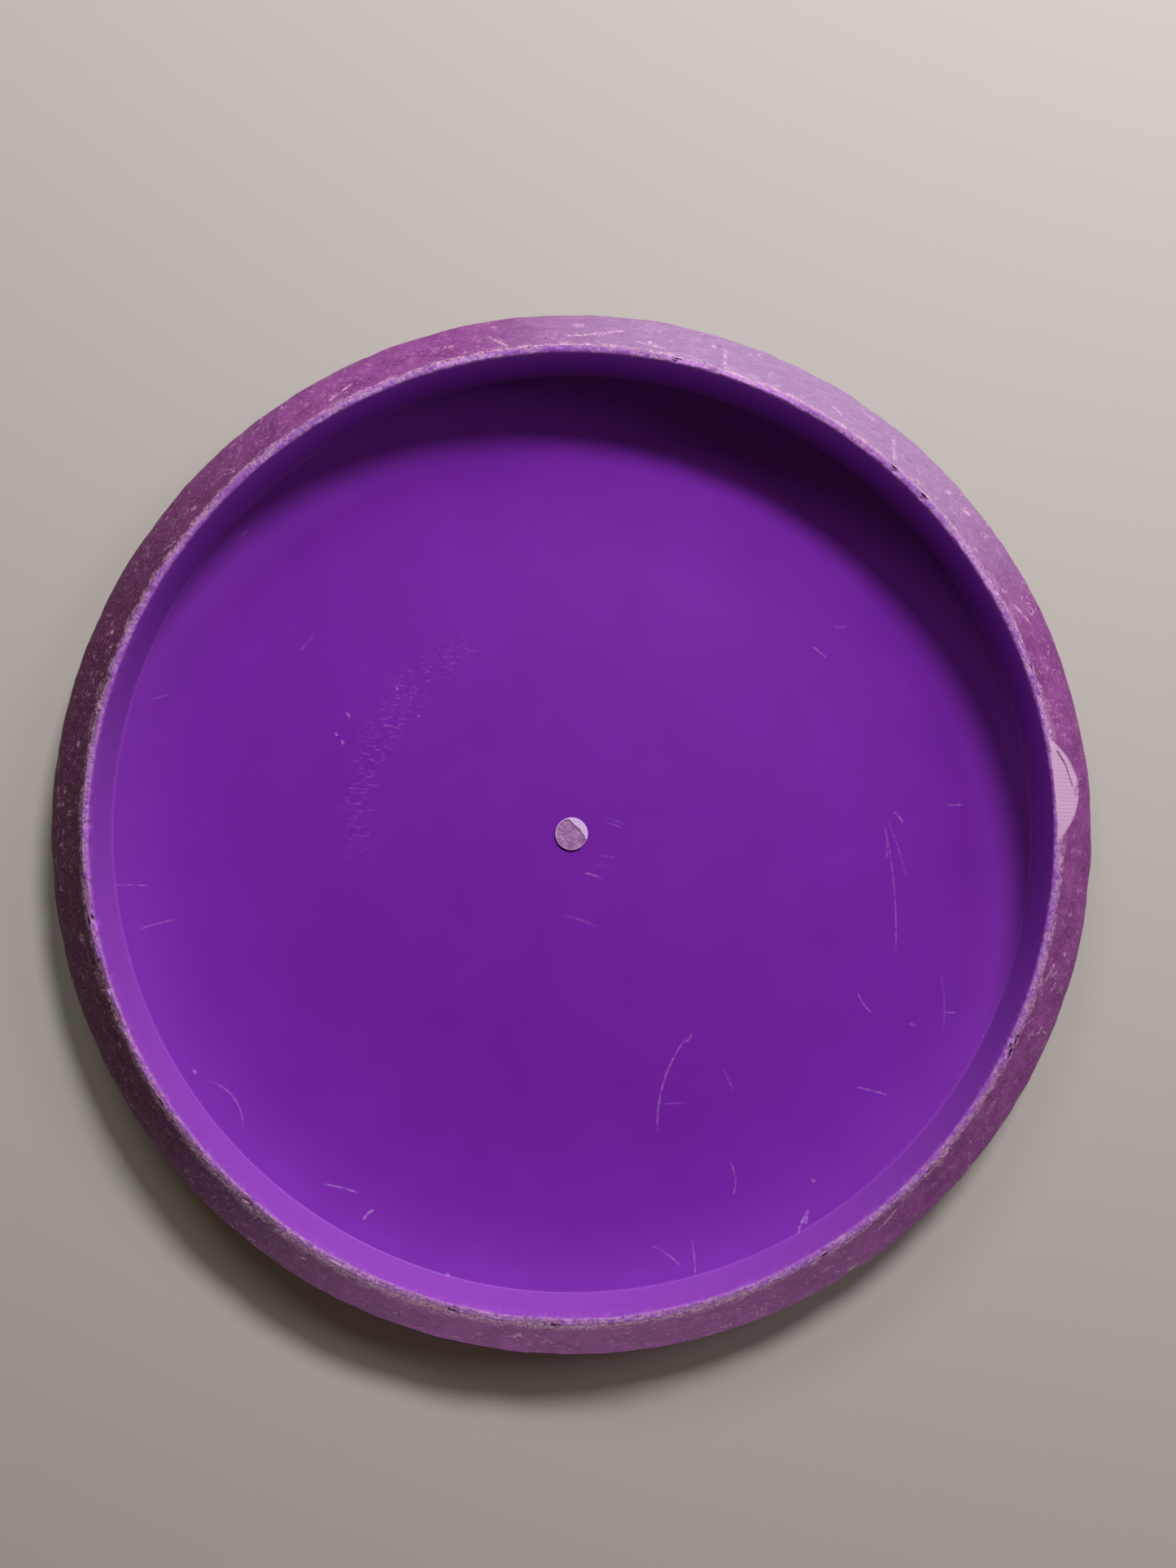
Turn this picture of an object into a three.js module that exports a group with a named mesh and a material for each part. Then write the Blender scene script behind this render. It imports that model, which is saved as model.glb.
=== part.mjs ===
// A putter-type flying disc, lying on its crown with the open underside up.
// Two mouldings make it: the flight plate core, and the rim overmould shot around the core's tongue.
// Millimetres, +Z up. The origin is the middle of the crown's flat, where the disc rests.

import * as THREE from 'three';

// Driving dimensions
const discRadius = 106; // widest point, at the nose of the rim
const discHeight = 20; // crown flat to the land on top of the bead
const noseHeight = 9.6; // height of the widest point
const rimDepth = 12.4; // bead land down to the plate beside the wall
const wallMouthRadius = 94.6; // inner wall under the bead
const wallFootRadius = 94.4; // inner wall at the plate, with a little draft
const wallFillet = 0.5; // inside corner between wall and plate
const plateThickness = 2.4; // in the flat middle
const flatRadius = 55; // flat middle of the plate
const crownEdgeRadius = 92; // where the crown turns into the shoulder
const crownEdgeHeight = 5;
const domePower = 2.2; // how late the plate turns up towards the rim
const beadWidth = 1.6;
const beadHeight = 0.45; // bead land above the outer face
const beadRound = 0.3; // rounding on both edges of the land
const beadDraft = 0.1; // how far the bead's outer flank leans in
const lowerFaceEnd = [102.6, 13.6]; // where the conical outer face turns into the nose
const noseCorner = [105.7, 10.7]; // where the face's slope meets the nose
const shoulderPull = 7.5; // how far the shoulder keeps the dome's slope
const shoulderSlope = 0.3; // the dome's slope where the shoulder takes over
const nosePull = 4.4; // how far the nose stays upright below its widest point
const seamFraction = 0.3; // where the overmould starts, along the shoulder curve
const shoulderStops = [0.42, 0.55, 0.7, 0.85]; // points of the overmould's shoulder, along the curve
const tongueReach = 6.2; // core tongue past the foot of the wall
const tongueTipHeight = 2.2;
const tongueLowRoot = [3.2, -2.3]; // crown-side root of the tongue, from wall foot and nose height
const tongueHighRoot = [3, 2.6]; // bead-side root of the tongue, from wall foot and nose height
const bondNeck = [0.6, -1.4]; // last turn of the bond line, from the bead's foot
const bondGap = 0.05; // radial bond line between core and overmould
const stubRadius = 3.45; // gate stub in the middle of the plate
const stubDraft = 0.1;
const stubHeight = 0.7;
const turnSteps = 96; // facets around the axis

// Derived places, as [radius, height]
const plateEdgeHeight = discHeight - rimDepth;
const shoulderStart = [crownEdgeRadius, crownEdgeHeight];
const beadFoot = [wallMouthRadius + beadWidth, discHeight - beadHeight];
const nose = [discRadius, noseHeight];
const tongueTipRadius = wallFootRadius + tongueReach;
const plateEdgeRadius = wallFootRadius - wallFillet;

const corePlastic = new THREE.MeshStandardMaterial({ color: 0x7022a0, roughness: 0.45, metalness: 0 });
const rimPlastic = new THREE.MeshStandardMaterial({ color: 0x6e3a68, roughness: 0.6, metalness: 0 });

// Height at a radius of a surface that is flat in the middle and turns up to an edge.
function dishHeight(radius, middle, edgeRadius, edgeHeight) {
  const past = Math.max(0, radius - flatRadius) / (edgeRadius - flatRadius);
  return middle + (edgeHeight - middle) * past ** domePower;
}

// Points on the turned-up part of such a surface, from the flat to its edge.
function dishPoints(middle, edgeRadius, edgeHeight, steps) {
  const points = [];
  for (let i = 0; i <= steps; i += 1) {
    const radius = flatRadius + ((edgeRadius - flatRadius) * i) / steps;
    points.push([radius, dishHeight(radius, middle, edgeRadius, edgeHeight)]);
  }
  return points;
}

// The shoulder runs from the dome's slope to the upright nose.
function shoulderCurve() {
  return new THREE.CubicBezierCurve(
    new THREE.Vector2(shoulderStart[0], shoulderStart[1]),
    new THREE.Vector2(shoulderStart[0] + shoulderPull, shoulderStart[1] + shoulderPull * shoulderSlope),
    new THREE.Vector2(nose[0], nose[1] - nosePull),
    new THREE.Vector2(nose[0], nose[1]),
  );
}

// The point at a fraction of the shoulder's length.
function shoulderPoint(fraction) {
  const point = shoulderCurve().getPoint(fraction);
  return [point.x, point.y];
}

// Both mouldings share this line, from the seam on the shoulder, round the tongue, to the bead's foot.
function bondLine() {
  return [
    shoulderPoint(seamFraction),
    [wallFootRadius + tongueLowRoot[0], noseHeight + tongueLowRoot[1]],
    [tongueTipRadius, noseHeight - tongueTipHeight / 2],
    [tongueTipRadius, noseHeight + tongueTipHeight / 2],
    [wallFootRadius + tongueHighRoot[0], noseHeight + tongueHighRoot[1]],
    [beadFoot[0] + bondNeck[0], beadFoot[1] + bondNeck[1]],
    beadFoot,
  ];
}

// A quarter round between two points, bulging towards the corner given.
function quarterRound(from, corner, to, steps) {
  const curve = new THREE.QuadraticBezierCurve(
    new THREE.Vector2(from[0], from[1]),
    new THREE.Vector2(corner[0], corner[1]),
    new THREE.Vector2(to[0], to[1]),
  );
  return curve.getPoints(steps).map((point) => [point.x, point.y]);
}

// The bead's section, from its outer foot over the flat land to the mouth of the wall.
function beadPoints() {
  const outer = beadFoot[0] - beadDraft;
  const inner = wallMouthRadius;
  const top = discHeight;
  return [
    ...quarterRound([outer, top - beadRound], [outer, top], [outer - beadRound, top], 2),
    ...quarterRound([inner + beadRound, top], [inner, top], [inner, top - beadRound], 2),
  ];
}

function gateStubPoints() {
  const top = plateThickness + stubHeight;
  return [
    [stubRadius, plateThickness],
    [stubRadius - stubDraft, top],
    [0, top],
  ];
}

// Core section: crown, dome, seam, bond line, bead, wall, plate and gate stub.
function coreOutline() {
  const filletTop = [wallFootRadius, plateEdgeHeight + wallFillet];
  const filletFoot = [plateEdgeRadius, plateEdgeHeight];
  const plate = dishPoints(plateThickness, plateEdgeRadius, plateEdgeHeight, 8);
  return [
    [0, 0],
    ...dishPoints(0, crownEdgeRadius, crownEdgeHeight, 6),
    shoulderPoint(seamFraction / 2),
    ...bondLine(),
    ...beadPoints(),
    ...quarterRound(filletTop, [wallFootRadius, plateEdgeHeight], filletFoot, 2),
    ...plate.reverse().slice(1),
    ...gateStubPoints(),
  ];
}

// Overmould section: shoulder, nose, conical outer face, and the bond line back down.
function rimOutline() {
  const shoulder = shoulderStops.map(shoulderPoint);
  const noseRound = quarterRound(nose, noseCorner, lowerFaceEnd, 3);
  const bond = bondLine().map(([radius, height]) => [radius + bondGap, height]);
  const outline = [...shoulder, ...noseRound, ...bond.reverse()];
  return [...outline, outline[0]];
}

// Turns an outline about +Z.
function turned(outline, material, name) {
  const points = outline.map(([radius, height]) => new THREE.Vector2(radius, height));
  const mesh = new THREE.Mesh(new THREE.LatheGeometry(points, turnSteps), material);
  mesh.rotation.x = Math.PI / 2;
  mesh.name = name;
  return mesh;
}

const disc = new THREE.Group();
disc.add(turned(coreOutline(), corePlastic, 'flight_plate_core'));
disc.add(turned(rimOutline(), rimPlastic, 'rim_overmould'));

export default disc;
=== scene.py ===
import math
import random

import bpy
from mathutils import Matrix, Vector, noise
from mathutils.kdtree import KDTree


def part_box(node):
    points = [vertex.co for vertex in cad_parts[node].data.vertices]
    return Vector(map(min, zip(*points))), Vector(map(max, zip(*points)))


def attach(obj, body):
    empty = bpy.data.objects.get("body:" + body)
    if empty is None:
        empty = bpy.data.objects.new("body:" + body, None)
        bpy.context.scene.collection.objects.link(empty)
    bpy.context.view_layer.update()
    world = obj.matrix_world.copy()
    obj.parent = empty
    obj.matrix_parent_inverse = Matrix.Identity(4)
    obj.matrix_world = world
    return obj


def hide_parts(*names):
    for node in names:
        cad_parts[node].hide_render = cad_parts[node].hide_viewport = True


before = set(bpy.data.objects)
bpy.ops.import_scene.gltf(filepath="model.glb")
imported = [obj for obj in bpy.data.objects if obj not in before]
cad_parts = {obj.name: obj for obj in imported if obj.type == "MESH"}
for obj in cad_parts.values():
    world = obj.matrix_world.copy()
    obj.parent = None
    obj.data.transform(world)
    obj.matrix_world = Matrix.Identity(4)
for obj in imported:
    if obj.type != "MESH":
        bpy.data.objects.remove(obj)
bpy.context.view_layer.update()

# A used putter-type flying disc, lying on its crown with the open side up.
mm = 0.001
_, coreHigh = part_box("flight_plate_core")
_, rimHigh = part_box("rim_overmould")
bpy.context.scene.view_settings.view_transform = "Standard"
print("frame loaded, disc", round(rimHigh.x / mm * 2), "mm wide")

# the section of the disc, in millimetres: radius from the spin axis, height over the crown's flat
disc = {
    "radius": rimHigh.x / mm,
    "height": coreHigh.z / mm,
    "noseHeight": 9.6,
    "rimDepth": 12.4,
    "wallMouth": 94.6,
    "wallFoot": 94.4,
    "wallFillet": 0.7,
    "plateThickness": 2.4,
    "flatRadius": 55,
    "flatRings": (18, 37),  # rings of points in the flat middle
    "crownEdge": (92, 5),
    "domePower": 2.2,  # how late the plate turns up towards the rim
    "beadWidth": 1.6,
    "beadHeight": 0.45,
    "beadRound": 0.35,  # outer edge of the bead
    "mouthRound": 0.9,  # inner edge, worn rounder
    "beadDraft": 0.1,
    "lowerFaceEnd": (102.6, 13.6),
    "noseCorner": (105.7, 10.7),
    "shoulderPull": 7.5,
    "shoulderSlope": 0.3,
    "nosePull": 4.4,
    "seamFraction": 0.3,
    "shoulderStops": (0.37, 0.09, 7),  # first point, step and count along the overmould's shoulder
    "tongueReach": 6.2,
    "tongueTip": 2.2,
    "tongueLowRoot": (3.2, -2.3),
    "tongueHighRoot": (3, 2.6),
    "bondNeck": (0.6, -1.4),
    "bondGap": 0.05,
    "turnSteps": 1440,  # 0.4 mm at the bead, fine enough for its chips
    "smoothAngle": 35,
}
plateEdge = (disc["wallFoot"] - disc["wallFillet"], disc["height"] - disc["rimDepth"])
beadFoot = (disc["wallMouth"] + disc["beadWidth"], disc["height"] - disc["beadHeight"])
nose = (disc["radius"], disc["noseHeight"])


def deselectAll():
    if bpy.context.object and bpy.context.object.mode != "OBJECT":
        bpy.ops.object.mode_set(mode="OBJECT")
    bpy.ops.object.select_all(action="DESELECT")


def onePiece(piece):
    # the operators act on this piece alone
    deselectAll()
    piece.select_set(True)
    bpy.context.view_layer.objects.active = piece


def bend(start, corner, end, steps):
    # a round between two points, pulled towards a corner
    points = []
    for i in range(steps + 1):
        t = i / steps
        points.append(tuple((1 - t) ** 2 * a + 2 * t * (1 - t) * b + t * t * c
                            for a, b, c in zip(start, corner, end)))
    return points


def between(start, end, steps):
    return [tuple(a + (b - a) * i / steps for a, b in zip(start, end)) for i in range(1, steps)]


def dishHeight(radius, middle, edge):
    # a surface flat in the middle that turns up late to its edge
    past = max(0, radius - disc["flatRadius"]) / (edge[0] - disc["flatRadius"])
    return middle + (edge[1] - middle) * past ** disc["domePower"]


def dishPoints(middle, edge, steps):
    start = disc["flatRadius"]
    radii = [start + (edge[0] - start) * i / steps for i in range(steps + 1)]
    return [(radius, dishHeight(radius, middle, edge)) for radius in radii]


def shoulderPoint(t):
    a = disc["crownEdge"]
    b = (a[0] + disc["shoulderPull"], a[1] + disc["shoulderPull"] * disc["shoulderSlope"])
    c = (nose[0], nose[1] - disc["nosePull"])
    return tuple((1 - t) ** 3 * p + 3 * t * (1 - t) ** 2 * q + 3 * t * t * (1 - t) * r + t ** 3 * s
                 for p, q, r, s in zip(a, b, c, nose))


def bondLine():
    # where core and overmould meet, from the seam on the shoulder round the tongue to the bead's foot
    tip = disc["wallFoot"] + disc["tongueReach"]
    half = disc["tongueTip"] / 2
    low, high, neck = disc["tongueLowRoot"], disc["tongueHighRoot"], disc["bondNeck"]
    return [
        shoulderPoint(disc["seamFraction"]),
        (disc["wallFoot"] + low[0], nose[1] + low[1]),
        (tip, nose[1] - half),
        (tip, nose[1] + half),
        (disc["wallFoot"] + high[0], nose[1] + high[1]),
        (beadFoot[0] + neck[0], beadFoot[1] + neck[1]),
        beadFoot,
    ]


def turnSection(name, outline, closed):
    # draws the section point by point, then turns it about the disc's axis
    deselectAll()
    startX, startZ = outline[0]
    bpy.ops.mesh.primitive_plane_add(size=mm, location=(startX * mm, 0, startZ * mm))
    piece = bpy.context.object
    piece.name = name
    piece.data.name = name
    bpy.ops.object.transform_apply(location=True, rotation=True, scale=True)
    bpy.ops.object.mode_set(mode="EDIT")
    bpy.ops.mesh.select_mode(type="VERT")
    bpy.ops.mesh.merge(type="CENTER")
    for (x0, z0), (x1, z1) in zip(outline, outline[1:] + (outline[:1] if closed else [])):
        bpy.ops.mesh.extrude_vertices_move(
            TRANSFORM_OT_translate={"value": ((x1 - x0) * mm, 0, (z1 - z0) * mm)})
    bpy.ops.mesh.select_all(action="SELECT")
    bpy.ops.mesh.remove_doubles(threshold=0.002 * mm)
    bpy.ops.object.mode_set(mode="OBJECT")
    turn = piece.modifiers.new("turn", "SCREW")
    turn.angle = math.tau
    turn.steps = turn.render_steps = disc["turnSteps"]
    turn.use_merge_vertices = True
    turn.merge_threshold = 0.002 * mm
    bpy.ops.object.modifier_apply(modifier="turn")
    bpy.ops.object.mode_set(mode="EDIT")
    bpy.ops.mesh.select_all(action="SELECT")
    bpy.ops.mesh.remove_doubles(threshold=0.002 * mm)
    bpy.ops.mesh.normals_make_consistent(inside=False)
    bpy.ops.object.mode_set(mode="OBJECT")
    return piece


# Wear. Every cut goes into the plastic, so a worn piece stays inside the moulded one.
# Sizes and depths are in millimetres and directions in degrees.
wear = {
    "seed": 11,
    "heavyMiddle": 248,  # the stretch of bead that has met the ground most
    "heavySpread": 34,
    # uneven skin, as size and depth
    "beadLump": (2.6, 0.18),
    "beadDent": (0.9, 0.2),
    "beadWave": (7, 0.12),
    "faceKnock": (6, 0.22),
    "faceLump": (2.2, 0.1),
    "skinLoss": 0.1,  # what is gone nearly everywhere
    "beadReach": 2.4,  # the bead is bruised this far below its top
    "beadFade": 1.2,  # and fully from this far above that
    "unscuffedMouth": 0.35,  # the scuffs stop about here, outside the mouth's edge
    "besideBead": 0.9,  # width of the bruised edge of the face
    # the long pale scrape: its middle, the two points it is planed through, and its half length
    "scrapeMiddle": 5.4,
    "scrapeInner": 95.15,
    "scrapeOuter": (101.1, 14.85),
    "scrapeReach": 11,
    "cleanStretch": (-0.8, 11.4),  # no pits between these directions, where the scrape is
    # short flats knocked onto the bead
    "flatCount": 64,
    "flatDip": (0.02, 0.16),  # lowest and highest, as in the other pairs of this kind
    "flatTilt": (0.1, 0.7),
    "flatEdges": (0.9, 0.1),  # both ends of a flat's section, inside the bead's foot
    "flatReach": 3.2,
    "flatFade": 0.12,  # a flat shows fully where it has taken this much off
    "flatDeepest": 1.6,  # a flat takes nothing off what stands higher over it
    # gravel rash on the face
    "pitCount": 420,
    "pitSize": (0.3, 0.8),
    "pitDepth": (0.05, 0.18),
    "pitStrength": (0.05, 0.45),
    "dirtyPits": 0.1,  # share of the pits that hold dirt
    "ragged": (0.7, 0.7),  # size and strength of a bruise's ragged outline
}


def clamp(value):
    return max(0, min(1, value))


def bumps(point, size, apart=(0, 0, 0)):
    # noise with bumps of a size in millimetres; apart keeps two noises from being alike
    return noise.noise(point / (size * mm) + Vector(apart))


def around(point):
    # a point's direction in degrees, and its radius and height in millimetres
    degrees = math.degrees(math.atan2(point.y, point.x))
    return degrees, math.hypot(point.x, point.y) / mm, point.z / mm


def polar(degrees, radius, height):
    a = math.radians(degrees)
    return Vector((math.cos(a) * radius, math.sin(a) * radius, height)) * mm


def faceHeight(radius):
    # height of the sloping outer face at a radius
    (r0, z0), (r1, z1) = beadFoot, disc["lowerFaceEnd"]
    return z0 + (z1 - z0) * (radius - r0) / (r1 - r0)


def readSkin(piece):
    # the moulded surface before any wear: its points, their outward directions, and a finder
    vertices = piece.data.vertices
    skin = {
        "points": [v.co.copy() for v in vertices],
        "outward": [v.normal.copy() for v in vertices],
        "scuff": [0.0] * len(vertices),
        "grime": [0.0] * len(vertices),
        "shaved": [0.0] * len(vertices),
        "tree": KDTree(len(vertices)),
    }
    for index, point in enumerate(skin["points"]):
        skin["tree"].insert(point, index)
    skin["tree"].balance()
    return skin


def writeSkin(piece, skin):
    piece.data.vertices.foreach_set("co", [part for point in skin["points"] for part in point])
    for name in ("scuff", "grime", "shaved"):
        piece.data.attributes.new(name, "FLOAT", "POINT").data.foreach_set("value", skin[name])
    piece.data.update()


def mark(skin, name, index, amount):
    skin[name][index] = min(1, max(skin[name][index], amount))


def cutIn(skin, index, depth):
    skin["points"][index] -= skin["outward"][index] * depth * mm


def heavy(degrees):
    # 1 in the middle of the most worn stretch, fading to 0 away from it
    off = (degrees - wear["heavyMiddle"] + 180) % 360 - 180
    return math.exp(-(off / wear["heavySpread"]) ** 2)


def roughenBead(skin):
    # lumps and bruises all round the bead, deepest where the wear is heavy
    low = disc["height"] - wear["beadReach"]
    lumpSize, lumpDepth = wear["beadLump"]
    dentSize, dentDepth = wear["beadDent"]
    waveSize, waveDepth = wear["beadWave"]
    for index, point in enumerate(skin["points"]):
        degrees, radius, height = around(point)
        if height < low or radius < disc["wallMouth"] - 0.5:
            continue
        lump = bumps(point, lumpSize)
        dent = bumps(point, dentSize, (7, 3, 1))
        wave = bumps(point, waveSize, (2, 9, 4))
        onBead = clamp((height - low) / wear["beadFade"])
        extra = heavy(degrees)
        outOfMouth = clamp((radius - disc["wallMouth"]) / wear["unscuffedMouth"] + 0.6 * dent)
        scuffed = 0.62 + 0.5 * lump + 0.3 * dent + 0.3 * extra
        mark(skin, "scuff", index, onBead * scuffed * outOfMouth)
        cut = max(0, wear["skinLoss"] + lumpDepth * lump + dentDepth * dent + waveDepth * wave)
        insideFoot = clamp((beadFoot[0] - radius) / 0.5)
        cutIn(skin, index, cut * (0.7 + 1.3 * extra) * onBead * insideFoot)


def roughenFace(skin):
    # the bruised edge beside the bead, and a nose knocked slightly out of round
    edge = disc["height"] - disc["beadHeight"]
    lumpSize, lumpDepth = wear["faceLump"]
    knockSize, knockDepth = wear["faceKnock"]
    for index, point in enumerate(skin["points"]):
        degrees, radius, height = around(point)
        if height < disc["noseHeight"] - 2:
            continue
        lump = bumps(point, lumpSize)
        knock = bumps(point, knockSize, (4, 4, 8))
        fromFoot = radius - beadFoot[0]
        if height > edge - 3:
            reach = max(0.2, wear["besideBead"] + 1.3 * lump + 1.7 * heavy(degrees))
            mark(skin, "scuff", index, 1.1 * max(0, 1 - fromFoot / reach))
        cut = max(0, wear["skinLoss"] + knockDepth * knock + lumpDepth * lump)
        cutIn(skin, index, cut * clamp(fromFoot / 2))


def shaveFlat(skin, degrees, inner, outer, reach, kind, amount):
    # planes a flat through the points inner and outer of the section, each (radius, height)
    a, b = polar(degrees, *inner), polar(degrees, *outer)
    across = (b - a).normalized()
    along = Vector((-math.sin(math.radians(degrees)), math.cos(math.radians(degrees)), 0))
    normal = along.cross(across)
    normal = normal if normal.z > 0 else -normal
    for moulded, index, _ in skin["tree"].find_range((a + b) / 2, reach * mm):
        over = (skin["points"][index] - a).dot(normal)
        if over < wear["flatDeepest"] * mm and moulded.z > disc["noseHeight"] * mm:
            skin["points"][index] -= normal * max(0, over)
            taken = (moulded - a).dot(normal) / (wear["flatFade"] * mm)
            mark(skin, kind, index, amount * min(1, taken))


def pit(skin, centre, size, depth, kind, amount=1.0):
    # a bruise, size and depth in millimetres; its ragged edge wanders a little past the size
    grain, strength = wear["ragged"]
    for co, index, far in skin["tree"].find_range(centre, 1.4 * size * mm):
        ragged = far / (size * mm) * (1 + strength * bumps(co, grain))
        if ragged < 1:
            cutIn(skin, index, depth * (1 - ragged ** 2))
            mark(skin, kind, index, amount * min(1, 1.4 * (1 - ragged)))


def gouge(skin, start, end, width, depth, kind, amount=1.0):
    # a scored line between two points on the surface; width is half its width, in millimetres
    line = end - start
    middle, reach = (start + end) / 2, line.length / 2 + width * mm
    for co, index, _ in skin["tree"].find_range(middle, reach):
        t = clamp((co - start).dot(line) / line.length_squared)
        far = (co - start - line * t).length / (width * mm)
        if far < 1:
            cutIn(skin, index, depth * (1 - far * far))
            mark(skin, kind, index, amount * min(1, 1.5 * (1 - far)))


def facePoint(degrees, across):
    # across runs from 0 at the bead's foot to 1 at the end of the sloping face
    r0, r1 = beadFoot[0], disc["lowerFaceEnd"][0]
    radius = r0 + (r1 - r0) * across
    return polar(degrees, radius, faceHeight(radius))


# bites out of the bead: degrees, radius, half size, depth, kind
beadBites = [
    (77.7, 95.6, 0.8, 0.4, "grime"), (48.8, 96.1, 0.8, 0.4, "grime"), (43.9, 96.0, 0.9, 0.4, "grime"),
    (44.4, 95.5, 0.9, 0.3, "scuff"), (48.3, 95.6, 0.8, 0.25, "scuff"), (77.2, 95.9, 0.9, 0.3, "scuff"),
    (178.8, 95.0, 1.3, 0.4, "scuff"), (190.2, 95.3, 1.2, 0.45, "scuff"), (189.8, 95.4, 0.5, 0.3, "grime"),
    (335.5, 95.8, 1.2, 0.4, "scuff"), (333.6, 95.9, 1.1, 0.45, "scuff"), (334.4, 95.5, 0.5, 0.25, "grime"),
    (228.5, 95.9, 1.5, 0.45, "scuff"), (301, 95.7, 1.0, 0.3, "scuff"), (150, 95.5, 0.8, 0.3, "scuff"),
    (121, 95.4, 0.7, 0.3, "scuff"), (317, 95.6, 0.9, 0.3, "scuff"), (268, 95.6, 1.2, 0.4, "scuff"),
    (256, 95.8, 1.0, 0.35, "scuff"), (20, 95.6, 0.8, 0.3, "scuff"), (213, 95.7, 1.3, 0.35, "scuff"),
]

# bruises on the sloping face: degrees, across, half size, depth, kind
faceBites = [
    (5.0, 0.9, 1.1, 0.35, "scuff"), (4.6, 0.82, 0.7, 0.4, "grime"), (42.3, 1.0, 1.0, 0.25, "scuff"),
    (39.3, 1.0, 1.0, 0.25, "scuff"), (35.9, 1.05, 1.1, 0.3, "scuff"), (29.4, 0.35, 0.9, 0.3, "scuff"),
    (29.3, 0.35, 0.35, 0.2, "grime"), (264, 0.72, 1.4, 0.25, "scuff"), (94.9, 0.1, 1.1, 0.3, "scuff"),
    (89.1, 1.0, 1.4, 0.3, "scuff"), (80.9, 0.5, 0.8, 0.3, "scuff"), (80.4, 0.42, 1.0, 0.2, "scuff"),
    (73.8, 0.95, 0.8, 0.25, "scuff"), (169.4, 0.55, 0.9, 0.3, "scuff"), (169.2, 0.5, 0.45, 0.3, "grime"),
    (174.9, 0.9, 0.9, 0.2, "scuff"), (191.8, 0.55, 1.2, 0.2, "scuff"), (237.7, 0.6, 0.9, 0.2, "scuff"),
    (139, 0.5, 0.9, 0.25, "scuff"), (133, 0.4, 0.8, 0.2, "scuff"), (156, 0.6, 0.9, 0.2, "scuff"),
    (303, 1.5, 1.9, 0.45, "scuff"),
]

# scored lines on the sloping face: degrees and across of both ends, half width, depth, kind
faceLines = [
    (50.8, 0.98, 49.3, 0.3, 0.45, 0.15, "scuff"), (72.4, 0.95, 71.8, 0.15, 0.4, 0.1, "scuff"),
    (27.3, 0.45, 26.0, 0.62, 0.45, 0.12, "scuff"), (26.0, 0.62, 24.8, 0.8, 0.45, 0.12, "scuff"),
    (99.5, 0.75, 97.5, 0.2, 0.4, 0.1, "scuff"), (90.5, 0.5, 86.5, 0.62, 0.6, 0.1, "scuff"),
    (86.5, 0.62, 84.2, 0.85, 0.5, 0.1, "scuff"), (82.3, 0.4, 79.2, 0.3, 0.45, 0.12, "scuff"),
    (9.8, 0.18, 8.2, 0.46, 0.32, 0.1, "grime"), (8.2, 0.46, 5.6, 0.68, 0.3, 0.08, "grime"),
    (58.5, 0.6, 57.2, 0.45, 0.4, 0.1, "scuff"), (119, 0.4, 116, 0.6, 0.4, 0.1, "scuff"),
    (311, 0.3, 308, 0.5, 0.4, 0.1, "scuff"), (345, 0.5, 343, 0.3, 0.4, 0.1, "scuff"),
]


def wearPiece(piece, bead):
    skin = readSkin(piece)
    if bead:
        roughenBead(skin)
    else:
        roughenFace(skin)
    draw = random.Random(wear["seed"])
    top, side = disc["height"], beadFoot[0]
    # the long pale scrape over bead and face
    scrapeInner = (wear["scrapeInner"], top)
    reach = wear["scrapeReach"]
    shaveFlat(skin, wear["scrapeMiddle"], scrapeInner, wear["scrapeOuter"], reach, "shaved", 1.0)
    innerInset, outerInset = wear["flatEdges"]
    for _ in range(wear["flatCount"]):
        # short flats that knock the bead out of round, and bruise the face beside it
        degrees = draw.uniform(0, 360)
        dip = draw.uniform(*wear["flatDip"]) * (1 + heavy(degrees))
        tilt = draw.uniform(*wear["flatTilt"])
        inner, outer = (side - innerInset, top - dip), (side - outerInset, top - dip - tilt)
        shaveFlat(skin, degrees, inner, outer, wear["flatReach"], "scuff", 0.8 if bead else 0.3)
    for degrees, radius, size, depth, kind in beadBites:
        pit(skin, polar(degrees, radius, top - 0.1), size, depth, kind)
    for degrees, across, size, depth, kind in faceBites:
        pit(skin, facePoint(degrees, across), size, depth, kind)
    for fromAngle, fromAcross, toAngle, toAcross, width, depth, kind in faceLines:
        gouge(skin, facePoint(fromAngle, fromAcross), facePoint(toAngle, toAcross), width, depth, kind)
    cleanFrom, cleanTo = wear["cleanStretch"]
    for _ in range(wear["pitCount"]):
        # gravel rash, thickest towards the nose
        degrees = draw.uniform(0, 360)
        across = draw.betavariate(1.6, 1.1) * 1.15
        size = draw.uniform(*wear["pitSize"])
        depth = draw.uniform(*wear["pitDepth"])
        kind = "grime" if draw.random() < wear["dirtyPits"] else "scuff"
        strength = draw.uniform(*wear["pitStrength"])
        if not cleanFrom < (degrees + 180) % 360 - 180 < cleanTo:
            pit(skin, facePoint(degrees, across), size, depth, kind, strength)
    writeSkin(piece, skin)


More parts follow.
